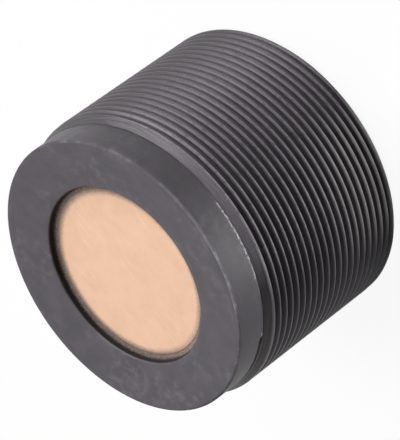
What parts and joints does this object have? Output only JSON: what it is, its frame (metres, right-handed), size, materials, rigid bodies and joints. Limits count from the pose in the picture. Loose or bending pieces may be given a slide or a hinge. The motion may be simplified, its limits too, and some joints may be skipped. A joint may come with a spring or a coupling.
{
  "type": "ultrasonic sensor",
  "caption": "Short cylindrical ultrasonic distance sensor: threaded sleeve, smooth front ring round a recessed tan sensing disc, and a plug connector recessed in the rear.",
  "frame": {"origin": "centre of the rear rim, on the surface that the sensor stands on", "axes": "+Z along the axis of the sensor, from the rear rim to the sensing face; +X through the key rib of the connector; +Y through the status light"},
  "size_m": [0.05, 0.05, 0.038],
  "materials": {
    "sleeve_plastic": "moulded glass-filled polyester, dark grey, faint sheen on the crests",
    "ring_plastic": "moulded glass-filled polyester, dark warm grey, matt with faint cloudy marks",
    "cover_plastic": "moulded glass-filled polyester, dark grey, fine eroded texture",
    "seal_rubber": "black nitrile rubber",
    "matching_resin": "tan glass-filled resin with fine straight streaks",
    "foam": "dark brown soft closed-cell foam",
    "backing": "grey brown damping foam",
    "piezo_ceramic": "fired ceramic with silvered faces",
    "drawn_metal": "drawn tinned sheet",
    "lead_insulation": "red lead insulation",
    "board_laminate": "green solder resist on glass laminate",
    "chip_body": "black moulded chip body",
    "capacitor_body": "yellow moulded body",
    "capacitor_ceramic": "tan fired ceramic",
    "ferrite": "dark grey ferrite",
    "winding": "enamelled copper wire",
    "carrier_plastic": "grey moulded plastic",
    "contact_metal": "gold plated brass",
    "led_resin": "clear yellowish resin",
    "guide_resin": "translucent moulded resin",
    "potting_resin": "black casting resin",
    "plated_metal": "nickel plated brass, satin",
    "insert_plastic": "black moulded insulator"
  },
  "bodies": {
    "root": {"threaded_sleeve": "sleeve_plastic", "front_ring": "ring_plastic", "ring_seal": "seal_rubber", "face_disc": "matching_resin", "decoupling_foam": "foam", "piezo_disc": "piezo_ceramic", "backing_foam": "backing", "transducer_cup": "drawn_metal", "transducer_leads": "lead_insulation", "temperature_sensor": "chip_body", "front_board": "board_laminate", "controller_chip": "chip_body", "echo_amplifier": "chip_body", "chip_resistors": "chip_body", "board_carrier": "carrier_plastic", "rear_board": "board_laminate", "transformer_core": "ferrite", "transformer_winding": "winding", "tantalum_capacitors": "capacitor_body", "chip_capacitors": "capacitor_ceramic", "voltage_regulator": "chip_body", "output_transistor": "chip_body", "header_strip": "chip_body", "header_pins": "contact_metal", "status_led": "led_resin", "light_guide": "guide_resin", "potting": "potting_resin", "rear_cover": "cover_plastic", "cover_seal": "seal_rubber", "connector_shell": "plated_metal", "connector_seal": "seal_rubber", "contact_insert": "insert_plastic", "contact_pins": "contact_metal"}
  },
  "joints": []
}
